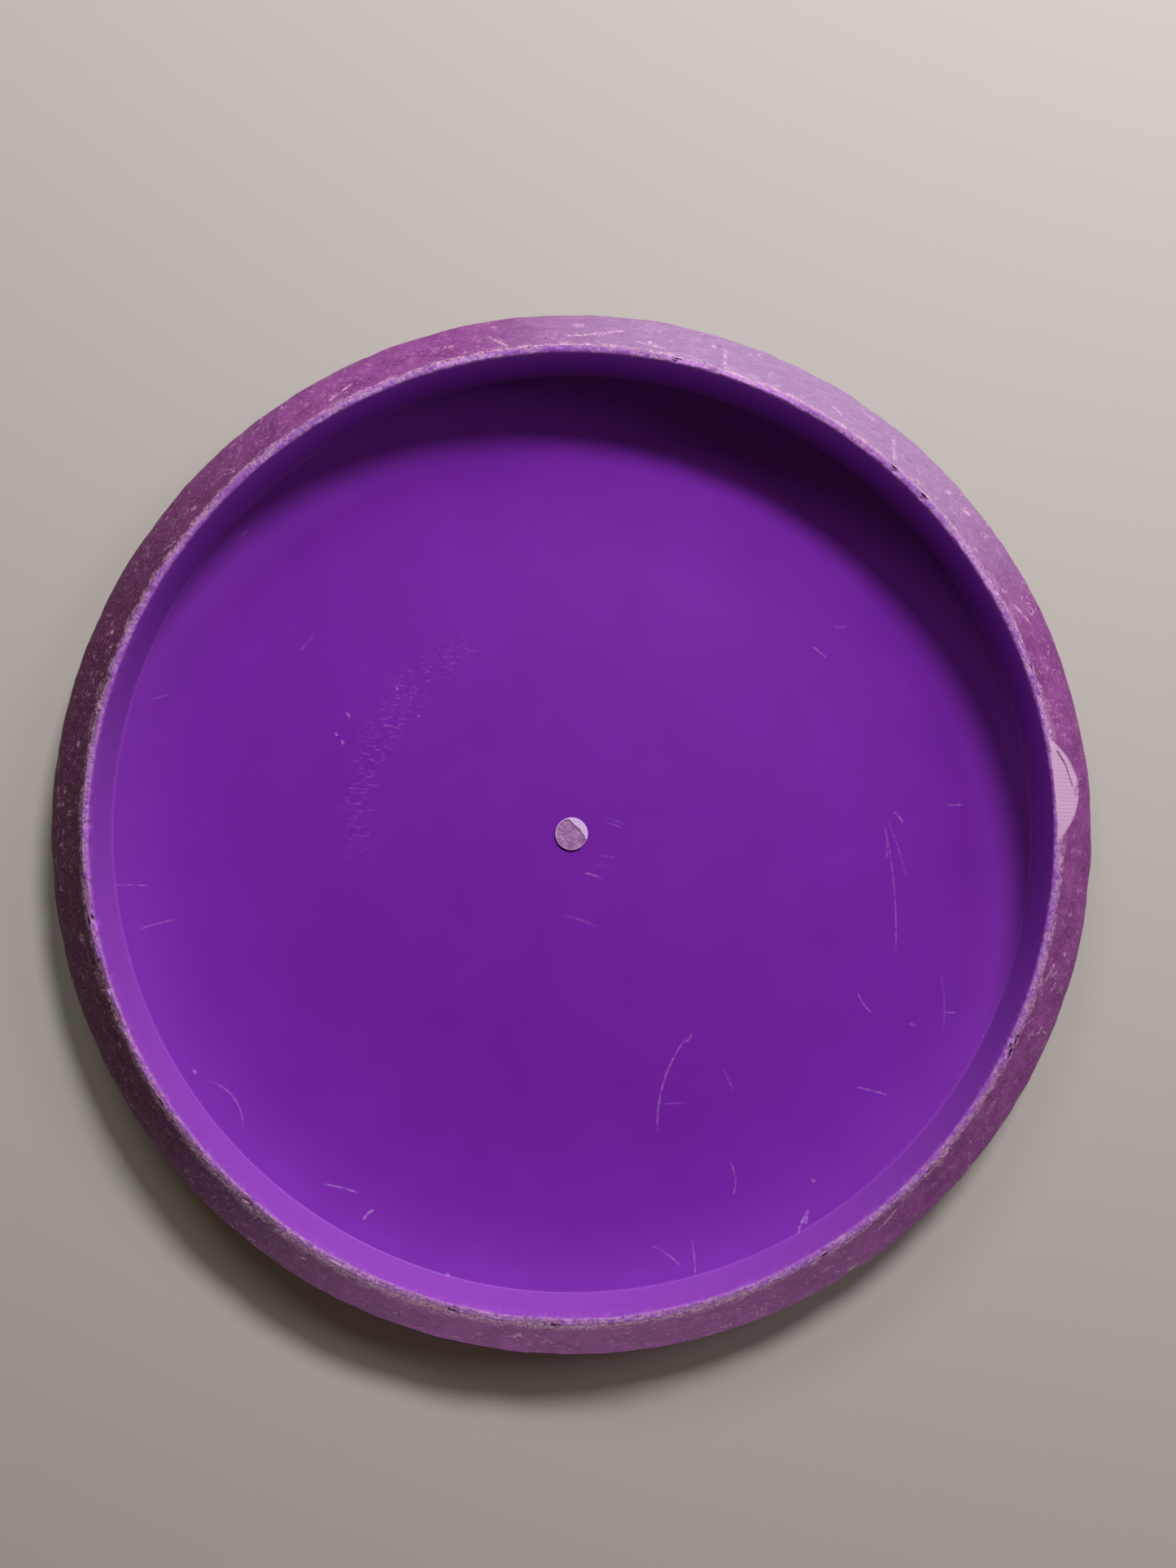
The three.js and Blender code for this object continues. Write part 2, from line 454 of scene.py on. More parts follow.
def coreOutline():
    # the last number of a stretch is how many steps it is drawn in
    top = disc["height"]
    thick = disc["plateThickness"]
    outer, inner = beadFoot[0] - disc["beadDraft"], disc["wallMouth"]
    turn, mouth = disc["beadRound"], disc["mouthRound"]
    foot = disc["wallFoot"]
    wallEnd = (foot, plateEdge[1] + disc["wallFillet"])
    plate = dishPoints(thick, plateEdge, 22)
    return [
        (0, 0),
        *((ring, 0) for ring in disc["flatRings"]),
        *dishPoints(0, disc["crownEdge"], 10),
        shoulderPoint(disc["seamFraction"] / 2),
        *bondLine(),
        *bend((outer, top - turn), (outer, top), (outer - turn, top), 4),
        *between((outer - turn, top), (inner + mouth, top), 2),
        *bend((inner + mouth, top), (inner, top), (inner, top - mouth), 6),
        *between((inner, top - mouth), wallEnd, 8),
        *bend(wallEnd, (foot, plateEdge[1]), plateEdge, 4),
        *plate[-2::-1],
        *((ring, thick) for ring in disc["flatRings"][::-1]),
        (0, thick),
    ]


def rimOutline():
    first, step, count = disc["shoulderStops"]
    shoulder = [shoulderPoint(first + step * i) for i in range(count)]
    noseRound = bend(nose, disc["noseCorner"], disc["lowerFaceEnd"], 8)
    foot = (beadFoot[0] + disc["bondGap"], beadFoot[1])
    face = between(disc["lowerFaceEnd"], foot, 24)
    bond = [(radius + disc["bondGap"], height) for radius, height in bondLine()]
    return shoulder + noseRound + face + bond[::-1]


def makeFlightPlateCore():
    piece = turnSection("flightPlateCore", coreOutline(), closed=False)
    wearPiece(piece, bead=True)
    onePiece(piece)
    bpy.ops.object.shade_smooth_by_angle(angle=math.radians(disc["smoothAngle"]))
    print("core turned,", len(piece.data.polygons), "faces")
    return piece


def makeRimOvermould():
    piece = turnSection("rimOvermould", rimOutline(), closed=True)
    wearPiece(piece, bead=False)
    onePiece(piece)
    bpy.ops.object.shade_smooth_by_angle(angle=math.radians(disc["smoothAngle"]))
    print("overmould turned,", len(piece.data.polygons), "faces")
    return piece


stub = {
    "radius": 3.42,
    "height": 0.5,
    "sink": 0.2,  # into the plate, so no gap shows
    "edgeRound": 0.1,
    "ringStep": 0.11,
    "ringCount": 28,
    "lip": 0.3,  # width of the burr left standing round the cut
    "lipSlope": 0.12,
    "wideLip": (85, 200),  # the burr is full width between these directions
    "thinLip": 0.35,  # and this share of it elsewhere
    "cutDepth": 0.2,
    # uneven cut, as size and depth
    "wander": (0.7, 0.12),
    "coarse": (0.8, 0.07),
    "fine": (0.3, 0.05),
    # the cut stops along these points and leaves a flap of skin standing
    "flapLine": ((-0.45, 2.85), (1.9, 0.72), (2.65, -0.6)),
    "flapLoss": 0.02,
    "sides": 192,
    "smoothAngle": 30,
}


def pastLine(point, start, end):
    # how far a point lies to the left of a line, in millimetres
    run = math.hypot(end[0] - start[0], end[1] - start[1])
    x, y = point.x / mm - start[0], point.y / mm - start[1]
    return ((end[0] - start[0]) * y - (end[1] - start[1]) * x) / run


def selectTop(piece, high):
    # selects the faces that lie flat at a height, in edit mode
    bpy.ops.object.mode_set(mode="EDIT")
    bpy.ops.mesh.select_mode(type="FACE")
    bpy.ops.mesh.select_all(action="DESELECT")
    bpy.ops.object.mode_set(mode="OBJECT")
    for face in piece.data.polygons:
        face.select = face.normal.z > 0.999 and face.center.z > high - 0.01 * mm
    bpy.ops.object.mode_set(mode="EDIT")


def cutStub(skin, high):
    # the cut goes in from above, rough and slightly hollow, and spares the burr and the flap
    first, second, third = stub["flapLine"]
    wanderSize, wanderWidth = stub["wander"]
    coarseSize, coarseDepth = stub["coarse"]
    fineSize, fineDepth = stub["fine"]
    lipFrom, lipTo = stub["wideLip"]
    for index, point in enumerate(skin["points"]):
        if point.z < high - 1.5 * stub["edgeRound"] * mm:
            continue
        degrees, radius, _ = around(point)
        wander = bumps(point, wanderSize) * wanderWidth
        rough = bumps(point, coarseSize) * coarseDepth + bumps(point, fineSize) * fineDepth
        onFlap = max(pastLine(point, first, second), pastLine(point, second, third)) + wander > 0
        burr = stub["lip"] * (1 if lipFrom < degrees % 360 < lipTo else stub["thinLip"])
        inward = clamp((stub["radius"] - burr - radius + wander) / stub["lipSlope"])
        drop = stub["flapLoss"] + 0.3 * rough if onFlap else (stub["cutDepth"] + rough) * inward
        point.z -= max(0, drop) * mm
        mark(skin, "scuff", index, 1.0 if onFlap else 0.55 * (1 - inward))


def makeGateStub():
    # a cut sprue: a low post with a burr round its cut and a flap still standing
    deselectAll()
    tall = (stub["height"] + stub["sink"]) * mm
    low = (disc["plateThickness"] - stub["sink"]) * mm
    high = low + tall
    bpy.ops.mesh.primitive_cylinder_add(vertices=stub["sides"], radius=stub["radius"] * mm,
                                        depth=tall, location=(0, 0, low + tall / 2))
    piece = bpy.context.object
    piece.name = "gateStub"
    piece.data.name = "gateStub"
    bpy.ops.object.transform_apply(location=True, rotation=True, scale=True)
    selectTop(piece, high)
    bpy.ops.mesh.bevel(offset=stub["edgeRound"] * mm, segments=3, affect="EDGES")
    selectTop(piece, high)
    for _ in range(stub["ringCount"]):
        bpy.ops.mesh.inset(thickness=stub["ringStep"] * mm)
    bpy.ops.object.mode_set(mode="OBJECT")
    skin = readSkin(piece)
    cutStub(skin, high)
    writeSkin(piece, skin)
    onePiece(piece)
    bpy.ops.object.shade_smooth_by_angle(angle=math.radians(stub["smoothAngle"]))
    print("gate stub cut,", len(piece.data.polygons), "faces")
    return piece


# Materials
def tone(code):
    # an sRGB hex colour as linear RGBA
    def linear(part):
        return part / 12.92 if part <= 0.04045 else ((part + 0.055) / 1.055) ** 2.4
    return (*(linear(int(code[i:i + 2], 16) / 255) for i in (1, 3, 5)), 1)


def addNode(tree, kind, inputs=None, out=0, **settings):
    # adds a node, sets it up, links or fills its inputs, and gives back one of its outputs
    node = tree.nodes.new("ShaderNode" + kind)
    for name, value in settings.items():
        setattr(node, name, value)
    for name, value in (inputs or {}).items():
        if isinstance(value, bpy.types.NodeSocket):
            tree.links.new(value, node.inputs[name])
        else:
            node.inputs[name].default_value = value
    return node.outputs[out]


# settings that many nodes share
product = {"operation": "MULTIPLY", "use_clamp": True}
greater = {"operation": "MAXIMUM", "use_clamp": True}
# a mix of two colours: amount, first and second are its inputs 0, 6 and 7, and the colour comes out of 2
colours = {"out": 2, "data_type": "RGBA"}


def newMaterial(name):
    material = bpy.data.materials.new(name)
    material.use_nodes = True
    shader = material.node_tree.nodes["Principled BSDF"]
    return material, material.node_tree, shader


def dress(piece, material):
    piece.data.materials.clear()
    piece.data.materials.append(material)


# hairline marks on the underside of the plate, in millimetres:
# from x, y to x, y, bow to the left, half width, strength
plateMarks = [
    (24.2, -42.4, 18.0, -62.6, -1.9, 0.34, 0.6), (25.0, -41.6, 23.6, -43.6, 0.5, 0.3, 0.6),
    (48.9, -77.3, 46.2, -83.8, -0.5, 0.4, 1.0), (48.6, -77.9, 48.0, -80.2, 0.0, 0.5, 0.9),
    (32.9, -68.1, 33.4, -75.3, 0.9, 0.3, 0.5), (16.4, -85.1, 22.4, -88.8, 0.4, 0.3, 0.6),
    (24.8, -83.5, 25.3, -92.6, 0.3, 0.3, 0.45), (-74.6, -50.8, -67.6, -60.6, 1.9, 0.26, 0.6),
    (-51.2, -72.2, -43.6, -74.4, 0.2, 0.34, 0.65), (-42.9, -79.6, -40.8, -77.6, 0.3, 0.45, 1.0),
    (-45.9, -83.4, -45.1, -82.7, 0.0, 0.4, 0.9), (59.2, -52.6, 65.6, -54.1, 0.1, 0.34, 0.6),
    (65.4, 2.2, 67.6, -25.2, 0.9, 0.26, 0.4), (65.4, 2.0, 65.8, -5.2, 0.3, 0.34, 0.35),
    (65.8, 3.2, 69.8, -8.9, 0.4, 0.26, 0.25), (67.2, 4.8, 69.2, 2.2, 0.2, 0.34, 0.5),
    (77.8, 6.1, 81.4, 6.0, 0.0, 0.32, 0.6), (6.8, 3.5, 11.2, 1.9, 0.1, 0.26, 0.3),
    (6.4, 2.7, 10.6, 1.2, 0.1, 0.26, 0.25), (2.6, -8.2, 6.4, -9.4, 0.2, 0.34, 0.75),
    (5.8, -4.6, 9.2, -5.2, 0.2, 0.3, 0.2), (5.0, -6.4, 8.6, -7.2, 0.2, 0.3, 0.2),
    (-94.0, -10.4, -87.0, -10.7, 0.1, 0.26, 0.5), (-89.2, -19.7, -81.8, -17.7, 0.2, 0.26, 0.5),
    (50.4, 39.2, 53.2, 36.9, 0.0, 0.32, 0.5), (59.8, -33.2, 62.7, -37.4, -0.4, 0.3, 0.5),
    (76.6, -28.6, 76.8, -40.6, 0.5, 0.26, 0.3), (77.1, -36.9, 79.4, -36.9, 0.0, 0.32, 0.6),
    (-56.6, 38.1, -53.6, 41.8, 0.1, 0.3, 0.35), (31.6, -49.1, 33.8, -54.0, 0.2, 0.28, 0.35),
    (19.3, -56.5, 24.1, -56.3, 0.0, 0.24, 0.35), (-86.4, 27.8, -83.0, 28.9, 0.0, 0.26, 0.3),
    (-68.4, 61.0, -66.6, 62.5, 0.0, 0.32, 0.4), (54.8, 43.1, 57.4, 43.2, 0.0, 0.26, 0.35),
    (-2.6, -17.0, 5.6, -19.6, 0.4, 0.5, 0.22), (-47.0, 25.4, -46.4, 24.3, 0.0, 0.45, 1.0),
    (-49.4, 21.2, -49.0, 20.5, 0.0, 0.5, 0.95), (-48.2, 19.6, -47.6, 18.7, 0.0, 0.5, 0.95),
    (-36.7, 30.7, -36.2, 30.0, 0.0, 0.4, 0.7), (-91.0, -25.0, -90.8, -26.3, 0.0, 0.6, 1.0),
    (-77.8, -48.5, -77.2, -49.4, 0.0, 0.45, 0.9), (-79.8, -52.0, -79.2, -53.3, 0.0, 0.45, 0.7),
    (-82.1, -53.8, -81.5, -54.3, 0.0, 0.4, 0.7), (49.5, -71.2, 50.3, -71.9, 0.0, 0.5, 0.7),
    (-25.8, -90.2, -25.0, -90.7, 0.0, 0.45, 0.8), (84.4, -41.3, 85.0, -41.9, 0.0, 0.4, 0.8),
    (-32.3, 24.9, -31.7, 24.4, 0.0, 0.4, 0.5), (70.2, -39.3, 71.3, -40.0, 0.0, 0.6, 0.35),
]

hairline = {
    "sharpness": 1.3,
    "strength": 0.62,
    "endFade": 9,  # a mark fades out over about an eighth of its length at both ends
}


def plateMarkGroup():
    # how strongly a point, in millimetres, lies on one bowed hairline
    group = bpy.data.node_groups.new("plateMark", "ShaderNodeTree")
    for name in ("Point", "Along", "Across"):
        group.interface.new_socket(name, in_out="INPUT", socket_type="NodeSocketVector")
    for name in ("Along Start", "Across Start", "Bow", "Sharpness", "Strength"):
        group.interface.new_socket(name, in_out="INPUT", socket_type="NodeSocketFloat")
    group.interface.new_socket("Mark", in_out="OUTPUT", socket_type="NodeSocketFloat")
    given = group.nodes.new("NodeGroupInput").outputs
    along = addNode(group, "VectorMath", {0: given["Point"], 1: given["Along"]}, "Value",
                    operation="DOT_PRODUCT")
    t = addNode(group, "Math", {0: along, 1: given["Along Start"]}, operation="SUBTRACT")
    across = addNode(group, "VectorMath", {0: given["Point"], 1: given["Across"]}, "Value",
                     operation="DOT_PRODUCT")
    side = addNode(group, "Math", {0: across, 1: given["Across Start"]}, operation="SUBTRACT")
    # t - t * t humps up between both ends, and bows the line
    square = addNode(group, "Math", {0: t, 1: t}, operation="MULTIPLY")
    hump = addNode(group, "Math", {0: t, 1: square}, operation="SUBTRACT")
    off = addNode(group, "Math", {0: hump, 1: given["Bow"], 2: side}, operation="MULTIPLY_ADD")
    near = addNode(group, "Math", {0: off, 1: given["Sharpness"]}, operation="MULTIPLY")
    nearSquare = addNode(group, "Math", {0: near, 1: near}, operation="MULTIPLY")
    line = addNode(group, "Math", {0: 1, 1: nearSquare}, operation="SUBTRACT", use_clamp=True)
    ends = addNode(group, "Math", {0: hump, 1: hairline["endFade"]}, **product)
    both = addNode(group, "Math", {0: line, 1: ends}, operation="MULTIPLY")
    strong = addNode(group, "Math", {0: both, 1: given["Strength"]}, operation="MULTIPLY")
    result = group.nodes.new("NodeGroupOutput")
    group.links.new(strong, result.inputs["Mark"])
    return group


def markField(tree, points):
    # the strongest of all the hairlines at a point
    group = plateMarkGroup()
    found = None
    for x0, y0, x1, y1, bow, halfWidth, strength in plateMarks:
        start, run = Vector((x0, y0, 0)), Vector((x1 - x0, y1 - y0, 0))
        along = run / run.length_squared
        across = Vector((-run.y, run.x, 0)) / run.length
        line = addNode(tree, "Group", {
            "Point": points,
            "Along": along,
            "Along Start": start.dot(along),
            "Across": across,
            "Across Start": start.dot(across),
            "Bow": -4 * bow,
            "Sharpness": hairline["sharpness"] / halfWidth,
            "Strength": hairline["strength"] * strength,
        }, "Mark", node_tree=group)
        if found is None:
            found = line
        else:
            found = addNode(tree, "Math", {0: found, 1: line}, operation="MAXIMUM")
    return found


def towards(tree, place, degrees, narrow, wide):
    # 1 on the side of the disc that faces a direction, fading to 0 between two angles off it
    way = (math.cos(math.radians(degrees)), math.sin(math.radians(degrees)), 0)
    faded, full = math.cos(math.radians(wide)), math.cos(math.radians(narrow))
    flat = addNode(tree, "VectorMath", {0: place, 1: (1, 1, 0)}, operation="MULTIPLY")
    unit = addNode(tree, "VectorMath", {0: flat}, operation="NORMALIZE")
    facing = addNode(tree, "VectorMath", {0: unit, 1: way}, "Value", operation="DOT_PRODUCT")
    return addNode(tree, "MapRange", {0: facing, 1: faded, 2: full}, interpolation_type="SMOOTHSTEP")


def streaks(tree, place, degrees, across, along):
    # noise drawn out in one direction, sizes in millimetres
    turn = (0, 0, math.radians(degrees))
    scale = (1 / (along * mm), 1 / (across * mm), 1 / (across * mm))
    turned = addNode(tree, "Mapping", {"Vector": place, "Rotation": turn, "Scale": scale})
    return addNode(tree, "TexNoise", {"Vector": turned, "Scale": 1, "Detail": 3, "Roughness": 0.6})


def scribbles(tree, place):
    # short curly scratches, a fifth of a millimetre wide: broken contour lines of a noise
    wander = addNode(tree, "TexNoise", {"Vector": place, "Scale": 330, "Detail": 2, "Roughness": 0.6})
    off = addNode(tree, "Math", {0: wander, 1: 0.5}, operation="SUBTRACT")
    away = addNode(tree, "Math", {0: off}, operation="ABSOLUTE")
    line = addNode(tree, "MapRange", {0: away, 1: 0.04, 2: 0.012})
    torn = addNode(tree, "TexNoise", {"Vector": place, "Scale": 410, "Detail": 3, "Roughness": 0.6})
    broken = addNode(tree, "MapRange", {0: torn, 1: 0.54, 2: 0.62})
    crowd = addNode(tree, "TexNoise", {"Vector": place, "Scale": 70, "Detail": 2})
    crowded = addNode(tree, "MapRange", {0: crowd, 1: 0.4, 2: 0.62, 3: 0.15, 4: 1})
    shown = addNode(tree, "Math", {0: broken, 1: crowded}, **product)
    return addNode(tree, "Math", {0: line, 1: shown}, **product)


def shavedBand(tree, place):
    # clean plastic laid bare by one long scrape, faintly ribbed across
    shaved = addNode(tree, "Attribute", out="Fac", attribute_name="shaved")
    bare = addNode(tree, "MapRange", {0: shaved, 1: 0.35, 2: 0.6})
    ribs = addNode(tree, "TexWave", {"Vector": place, "Scale": 420, "Distortion": 2, "Detail": 2}, "Fac",
                   bands_direction="Y")
    faint = addNode(tree, "MapRange", {0: ribs, 3: 0.8, 4: 1})
    return addNode(tree, "Math", {0: bare, 1: faint}, **product)


def violetDiscPlastic():
    # Firm thermoplastic, injection moulded and handled for years: a deep violet satin skin that shows
    # broad soft highlights, hairline scratches, and a pale dry bloom wherever it has been bruised.
    material, tree, shader = newMaterial("violetDiscPlastic")
    place = addNode(tree, "TexCoord", out="Object")
    inMillimetres = addNode(tree, "VectorMath", {0: place, 1: (1 / mm, 1 / mm, 0)}, operation="MULTIPLY")
    height = addNode(tree, "SeparateXYZ", {0: place}, "Z")
    facing = addNode(tree, "NewGeometry", out="Normal")
    upward = addNode(tree, "SeparateXYZ", {0: facing}, "Z")
    scuff = addNode(tree, "Attribute", out="Fac", attribute_name="scuff")
    grime = addNode(tree, "Attribute", out="Fac", attribute_name="grime")

    cloud = addNode(tree, "TexNoise", {"Vector": place, "Scale": 60, "Detail": 4, "Roughness": 0.55})
    cloudy = addNode(tree, "MapRange", {0: cloud, 1: 0.35, 2: 0.65})
    violet = addNode(tree, "Mix", {0: cloudy, 6: tone("#6D1EA0"), 7: tone("#711FA4")}, **colours)

    # the wall is coloured a paler violet: part wear from fingers, part painted sheen where the upright
    # wall catches light
    risen = addNode(tree, "MapRange", {0: height, 1: 4.5 * mm, 2: 9 * mm})
    upright = addNode(tree, "MapRange", {0: upward, 1: 0.97, 2: 0.6, 3: 0.35, 4: 1})
    wall = addNode(tree, "Math", {0: risen, 1: upright}, **product)
    wallWearAndSheen = addNode(tree, "Mix", {0: wall, 6: violet, 7: tone("#9448BC")}, **colours)

    # bruised skin breaks up at about half a millimetre
    grit = addNode(tree, "TexNoise", {"Vector": place, "Scale": 1600, "Detail": 4, "Roughness": 0.7})
    gritty = addNode(tree, "MapRange", {0: grit, 1: 0.38, 2: 0.62, 3: 0.15, 4: 1.35})
    bruise = addNode(tree, "Math", {0: scuff, 1: gritty}, **product)
    worn = addNode(tree, "Mix", {0: bruise, 6: wallWearAndSheen, 7: tone("#B68AB8")}, **colours)
    scraped = addNode(tree, "Mix", {0: shavedBand(tree, place), 6: worn, 7: tone("#C6A0C8")}, **colours)
    dirty = addNode(tree, "Mix", {0: grime, 6: scraped, 7: tone("#3A1C3A")}, **colours)

    # a ring rubbed where other discs have been stacked
    radius = addNode(tree, "VectorMath", {0: inMillimetres}, "Value", operation="LENGTH")
    ringIn = addNode(tree, "MapRange", {0: radius, 1: 40, 2: 44})
    ringOut = addNode(tree, "MapRange", {0: radius, 1: 50, 2: 45})
    ring = addNode(tree, "Math", {0: ringIn, 1: ringOut}, **product)
    ringSide = addNode(tree, "Math", {0: ring, 1: towards(tree, place, 152, 8, 42)}, **product)
    flecks = addNode(tree, "MapRange", {0: streaks(tree, place, 75, 0.45, 1.6), 1: 0.56, 2: 0.68})
    flecked = addNode(tree, "Math", {0: ringSide, 1: flecks}, **product)
    pale = addNode(tree, "Math", {0: flecked, 1: 0.22}, **product)
    patch = addNode(tree, "TexNoise", {"Vector": place, "Scale": 1100, "Detail": 2})
    patchy = addNode(tree, "MapRange", {0: patch, 1: 0.35, 2: 0.65, 3: 0.15, 4: 1})
    lines = addNode(tree, "Math", {0: markField(tree, inMillimetres), 1: patchy}, **product)
    pale = addNode(tree, "Math", {0: pale, 1: lines}, **greater)
    # both lie on the open side of the plate alone
    level = addNode(tree, "MapRange", {0: upward, 1: 0.6, 2: 0.8})
    deep = addNode(tree, "MapRange", {0: height, 1: 8.2 * mm, 2: 7.6 * mm})
    onPlate = addNode(tree, "Math", {0: level, 1: deep}, **product)
    shown = addNode(tree, "Math", {0: pale, 1: onPlate}, **product)
    colour = addNode(tree, "Mix", {0: shown, 6: dirty, 7: tone("#C79BDD")}, **colours)
    tree.links.new(colour, shader.inputs["Base Color"])

    smear = addNode(tree, "MapRange", {0: cloud, 1: 0.35, 2: 0.65, 3: 0.42, 4: 0.46})
    dull = addNode(tree, "MapRange", {0: bruise, 3: 0.3, 4: 0.78})
    rough = addNode(tree, "Math", {0: smear, 1: dull}, **greater)
    tree.links.new(rough, shader.inputs["Roughness"])

    # the mould's fine sparked grain, about 0.3 mm, and deeper roughness in the bruises
    grain = addNode(tree, "TexNoise", {"Vector": place, "Scale": 3300, "Detail": 2})
    sparked = addNode(tree, "Bump", {"Height": grain, "Strength": 0.12, "Distance": 0.05 * mm})
    torn = addNode(tree, "Bump", {"Height": grit, "Strength": bruise, "Distance": 0.25 * mm,
                                  "Normal": sparked})
    tree.links.new(torn, shader.inputs["Normal"])
    shader.inputs["IOR"].default_value = 1.5
    shader.inputs["Specular IOR Level"].default_value = 0.22
    return material


def plumOvermouldPlastic():
    # The same family of thermoplastic in a redder plum, worn dull by grass, gravel and chains: palest on
    # the side facing the key lamp, part dust and part painted sheen, darker on the far side with painted
    # shade, pitted, with pale flecks of broken skin.
    material, tree, shader = newMaterial("plumOvermouldPlastic")
    place = addNode(tree, "TexCoord", out="Object")
    scuff = addNode(tree, "Attribute", out="Fac", attribute_name="scuff")
    grime = addNode(tree, "Attribute", out="Fac", attribute_name="grime")

    mottle = addNode(tree, "TexNoise", {"Vector": place, "Scale": 170, "Detail": 6, "Roughness": 0.65})
    mottled = addNode(tree, "MapRange", {0: mottle, 1: 0.35, 2: 0.7})
    plum = addNode(tree, "Mix", {0: mottled, 6: tone("#6C2870"), 7: tone("#8C468E")}, **colours)
    # painted shade: the face is coloured a darker plum on the side turned away from the key lamp
    awaySideShade = towards(tree, place, 186, 10, 72)
    plumWithShade = addNode(tree, "Mix", {0: awaySideShade, 6: plum, 7: tone("#4C1840")}, **colours)

    # paler on the side facing the key lamp: part dust from sliding on the ground, part painted sheen
    sweep = addNode(tree, "MapRange", {0: streaks(tree, place, 25, 1.1, 9), 1: 0.3, 2: 0.66, 3: 0.7, 4: 1})
    sheenAndSlide = addNode(tree, "Math", {0: towards(tree, place, 63, 4, 42), 1: sweep}, **product)
    dusty = addNode(tree, "Mix", {0: sheenAndSlide, 6: plumWithShade, 7: tone("#9477A0")}, **colours)

    # fine scratches in three directions
    scratch = addNode(tree, "MapRange", {0: streaks(tree, place, -50, 0.35, 7), 1: 0.6, 2: 0.7})
    scrape = addNode(tree, "MapRange", {0: streaks(tree, place, 10, 0.4, 5), 1: 0.62, 2: 0.72})
    cross = addNode(tree, "MapRange", {0: streaks(tree, place, 62, 0.3, 6), 1: 0.6, 2: 0.7})
    either = addNode(tree, "Math", {0: scratch, 1: scrape}, **greater)
    scratched = addNode(tree, "Math", {0: either, 1: cross}, **greater)
    rubs = addNode(tree, "Math", {0: scratched, 1: 0.28}, **product)

    # broken skin, in flecks of half a millimetre and in curly scratches
    speck = addNode(tree, "TexNoise", {"Vector": place, "Scale": 1400, "Detail": 3, "Roughness": 0.65})
    fleck = addNode(tree, "MapRange", {0: speck, 1: 0.6, 2: 0.74, 3: 0, 4: 0.5})
    curls = addNode(tree, "Math", {0: scribbles(tree, place), 1: 0.6}, **product)
    broken = addNode(tree, "Math", {0: fleck, 1: curls}, **greater)
    gritty = addNode(tree, "MapRange", {0: speck, 1: 0.4, 2: 0.62, 3: 0.05, 4: 1.3})
    bruise = addNode(tree, "Math", {0: scuff, 1: gritty}, **product)
    bruised = addNode(tree, "Math", {0: bruise, 1: broken}, **greater)
    pale = addNode(tree, "Math", {0: bruised, 1: rubs}, **greater)
    worn = addNode(tree, "Mix", {0: pale, 6: dusty, 7: tone("#C8A0C0")}, **colours)
    scraped = addNode(tree, "Mix", {0: shavedBand(tree, place), 6: worn, 7: tone("#C6A0C8")}, **colours)
    colour = addNode(tree, "Mix", {0: grime, 6: scraped, 7: tone("#553448")}, **colours)
    tree.links.new(colour, shader.inputs["Base Color"])

    rough = addNode(tree, "MapRange", {0: mottle, 1: 0.3, 2: 0.7, 3: 0.5, 4: 0.65})
    tree.links.new(rough, shader.inputs["Roughness"])
    dents = addNode(tree, "Bump", {"Height": mottle, "Strength": 0.3, "Distance": 0.4 * mm})
    pitted = addNode(tree, "Bump", {"Height": speck, "Strength": 0.3, "Distance": 0.15 * mm,
                                    "Normal": dents})
    tree.links.new(pitted, shader.inputs["Normal"])
    shader.inputs["IOR"].default_value = 1.5
    shader.inputs["Specular IOR Level"].default_value = 0.16
    return material


def cutSpruePlastic():
    # The same violet plastic where the sprue was cut off: torn, dry and stress-whitened to a dusty lilac.
    material, tree, shader = newMaterial("cutSpruePlastic")
    place = addNode(tree, "TexCoord", out="Object")
    scuff = addNode(tree, "Attribute", out="Fac", attribute_name="scuff")
    facing = addNode(tree, "NewGeometry", out="Normal")
    upward = addNode(tree, "SeparateXYZ", {0: facing}, "Z")
    blotch = addNode(tree, "TexNoise", {"Vector": place, "Scale": 900, "Detail": 4, "Roughness": 0.65})
    blotchy = addNode(tree, "MapRange", {0: blotch, 1: 0.35, 2: 0.65})
    dusty = addNode(tree, "Mix", {0: blotchy, 6: tone("#885693"), 7: tone("#A97FB2")}, **colours)
    standing = addNode(tree, "MapRange", {0: scuff, 1: 0.2, 2: 0.9})
    skin = addNode(tree, "Mix", {0: standing, 6: dusty, 7: tone("#D2B4E6")}, **colours)
    cutFace = addNode(tree, "MapRange", {0: upward, 1: 0.1, 2: 0.5})
    colour = addNode(tree, "Mix", {0: cutFace, 6: tone("#6F2A96"), 7: skin}, **colours)
    tree.links.new(colour, shader.inputs["Base Color"])
    grain = addNode(tree, "TexNoise", {"Vector": place, "Scale": 2600, "Detail": 3})
    torn = addNode(tree, "Bump", {"Height": grain, "Strength": 0.3, "Distance": 0.1 * mm})
    tree.links.new(torn, shader.inputs["Normal"])
    shader.inputs["Roughness"].default_value = 0.6
    return material


def palePaper():
    # a plain pale backdrop paper, matte
    material, _, shader = newMaterial("palePaper")
    shader.inputs["Base Color"].default_value = tone("#B4B0AD")
    shader.inputs["Roughness"].default_value = 0.9
    return material


# Stage: floor, lights and camera
studio = {
    "floorSize": 6.0,  # metres
    "roomLight": 0.08,  # strength of the light from all round
    "roomTint": "#FFE2B8",
}

# angle round from +X and rise over the floor in degrees, sizes in metres, power in watts
lamps = {
    "windowKey": {
        "angle": 67, "rise": 41, "far": 0.9, "wide": 0.3, "tall": 0.1, "power": 7.9, "tint": "#FFFCFA",
    },
    "windowLeft": {
        "angle": 107, "rise": 38, "far": 0.9, "wide": 0.4, "tall": 0.16, "power": 1.6, "tint": "#FFFCFA",
    },
    "windowRight": {
        "angle": 26, "rise": 38, "far": 0.9, "wide": 0.4, "tall": 0.16, "power": 1.3, "tint": "#FFFCFA",
    },
    "tableBounce": {
        "angle": 270, "rise": 3, "far": 0.27, "wide": 0.5, "tall": 0.04, "power": 0.37, "tint": "#FBF2FA",
    },
}

